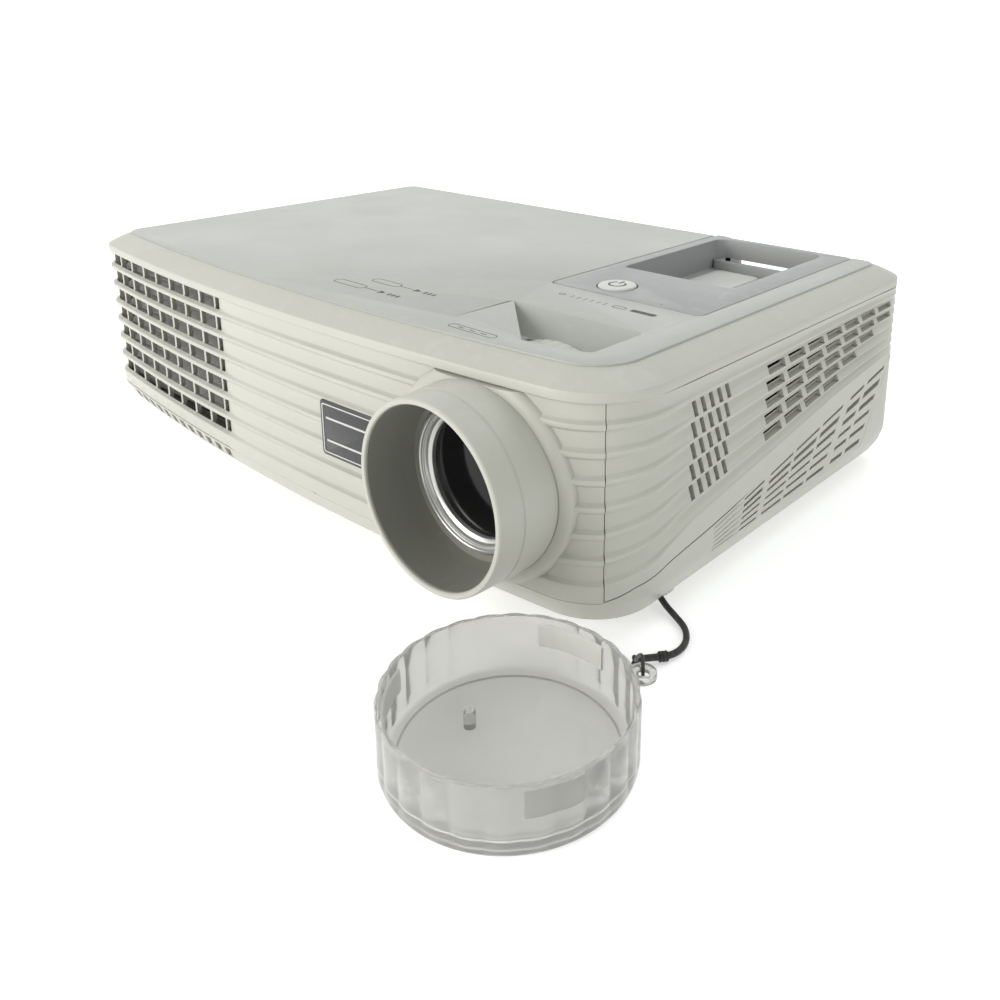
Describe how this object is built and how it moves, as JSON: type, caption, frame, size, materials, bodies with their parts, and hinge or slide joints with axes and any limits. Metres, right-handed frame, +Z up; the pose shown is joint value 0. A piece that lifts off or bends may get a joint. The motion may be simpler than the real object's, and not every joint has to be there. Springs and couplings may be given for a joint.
{
  "type": "home projector",
  "caption": "Compact lamp projector with a ribbed bowed front, hooded lens, focus window, handle bar, vented sides, drop-down foot and a clear tethered lens cap.",
  "frame": {"origin": "under the middle of the projector's case, lens hood included, on the surface that the feet stand on", "axes": "+Z up, the lens looks along -Y, +X is the vented side, on the right seen from the front"},
  "size_m": [0.3352, 0.2622, 0.083],
  "materials": {
    "case_white": "fine satin texture",
    "insert_grey": "satin",
    "key_light": "satin",
    "badge_dark": "satin",
    "ring_silver": "satin",
    "barrel_black": "matte",
    "ring_white": "satin",
    "lens_glass": "polished, coated",
    "cast_metal": "cast",
    "heatsink": "extruded",
    "pcb_green": "solder mask",
    "fan_black": "matte",
    "sheet_steel": "zinc plated",
    "quartz": "polished",
    "louvre_grey": "matte",
    "panel_grey": "fine texture",
    "connector_dark": "satin",
    "brass": "plain",
    "rubber_black": "matte",
    "cap_clear": "clear, scuffed",
    "cap_frosted": "frosted",
    "cord_black": "woven",
    "ir_dark": "polished"
  },
  "bodies": {
    "projector": {"lower_case": "case_white", "front_cover": "case_white", "top_cover": "case_white", "lens_hood": "case_white", "rear_panel": "panel_grey", "handle_insert": "insert_grey", "key_board": "pcb_green", "badge_plate": "badge_dark", "lens_barrel": "barrel_black", "rear_lens": "lens_glass", "optical_engine": "cast_metal", "light_tunnel": "quartz", "dmd_board": "pcb_green", "dmd_heatsink": "heatsink", "wheel_motor": "sheet_steel", "lamp_housing": "sheet_steel", "lamp_reflector": "quartz", "lamp_burner": "quartz", "lamp_door": "case_white", "lamp_door_screw": "sheet_steel", "ballast_board": "pcb_green", "power_board": "pcb_green", "main_board": "pcb_green", "board_stands": "brass", "fan_frame": "fan_black", "blower_housing": "fan_black", "speaker": "fan_black", "air_filter": "fan_black", "exhaust_louvre": "louvre_grey", "mains_inlet": "connector_dark", "vga_port": "connector_dark", "video_jacks": "connector_dark", "serial_port": "connector_dark", "audio_jack": "connector_dark", "ir_window": "ir_dark", "foot_housing": "fan_black", "rear_foot_nut": "brass", "rear_foot_fixed": "rubber_black", "case_screws": "sheet_steel", "strap_anchor": "case_white", "lens_cap": "cap_clear", "cap_pads": "cap_frosted", "tether": "cord_black", "tether_loop": "cord_black", "tether_sleeve": "rubber_black", "tether_knot": "cord_black"},
    "standby_key": {"power_key": "key_light"},
    "select_key": {"pocket_key": "key_light"},
    "focus_collar": {"focus_ring": "ring_white"},
    "front_cell_body": {"front_cell": "ring_silver", "front_lens": "lens_glass"},
    "zoom_collar": {"zoom_ring": "brass"},
    "zoom_carriage": {"zoom_group": "barrel_black", "middle_lens": "lens_glass"},
    "wheel": {"colour_wheel": "quartz"},
    "exhaust_rotor": {"fan_rotor": "fan_black"},
    "blower_drum": {"blower_rotor": "fan_black"},
    "drop_foot": {"front_foot": "rubber_black"},
    "foot_key": {"foot_release": "case_white"},
    "levelling_foot": {"rear_foot_screw": "rubber_black"}
  },
  "joints": [
    {"name": "standby_press", "type": "slide", "parent": "projector", "child": "standby_key", "axis": [0, 0, -1], "range_m": [0, 0.0008], "stiffness_N_per_m": 400, "springref_m": -0.0002},
    {"name": "select_press", "type": "slide", "parent": "projector", "child": "select_key", "axis": [0, 0, -1], "range_m": [0, 0.001], "stiffness_N_per_m": 400, "springref_m": -0.0003},
    {"name": "focus_turn", "type": "hinge", "parent": "projector", "child": "focus_collar", "pos_m": [0.102, -0.0633, 0.0435], "axis": [0, 1, 0], "range_deg": [-40, 40]},
    {"name": "front_cell_travel", "type": "slide", "parent": "projector", "child": "front_cell_body", "axis": [0, -1, 0], "range_m": [-0.0015, 0.0015]},
    {"name": "zoom_turn", "type": "hinge", "parent": "projector", "child": "zoom_collar", "pos_m": [0.102, -0.0535, 0.0435], "axis": [0, 1, 0], "range_deg": [-25, 25]},
    {"name": "zoom_carriage_travel", "type": "slide", "parent": "projector", "child": "zoom_carriage", "axis": [0, 1, 0], "range_m": [-0.002, 0.002]},
    {"name": "colour_wheel_spin", "type": "hinge", "parent": "projector", "child": "wheel", "pos_m": [0.027, 0.0095, 0.034], "axis": [1, 0, 0], "continuous": true},
    {"name": "exhaust_fan_spin", "type": "hinge", "parent": "projector", "child": "exhaust_rotor", "pos_m": [-0.09, -0.0645, 0.043], "axis": [0, 1, 0], "continuous": true},
    {"name": "blower_spin", "type": "hinge", "parent": "projector", "child": "blower_drum", "pos_m": [-0.021, 0.0605, 0.05], "axis": [0, 0, 1], "continuous": true},
    {"name": "front_foot_drop", "type": "slide", "parent": "projector", "child": "drop_foot", "axis": [0, 0, -1], "range_m": [0, 0.025]},
    {"name": "foot_release_press", "type": "slide", "parent": "projector", "child": "foot_key", "axis": [0, 0, 1], "range_m": [0, 0.0015], "stiffness_N_per_m": 400, "springref_m": -0.0003},
    {"name": "rear_foot_extend", "type": "slide", "parent": "projector", "child": "levelling_foot", "axis": [0, 0, -1], "range_m": [0, 0.006]}
  ],
  "couplings": [
    {"joint": "front_cell_travel", "follows": "focus_turn", "m_per_rad": 0.002149},
    {"joint": "zoom_carriage_travel", "follows": "zoom_turn", "m_per_rad": 0.004584}
  ]
}
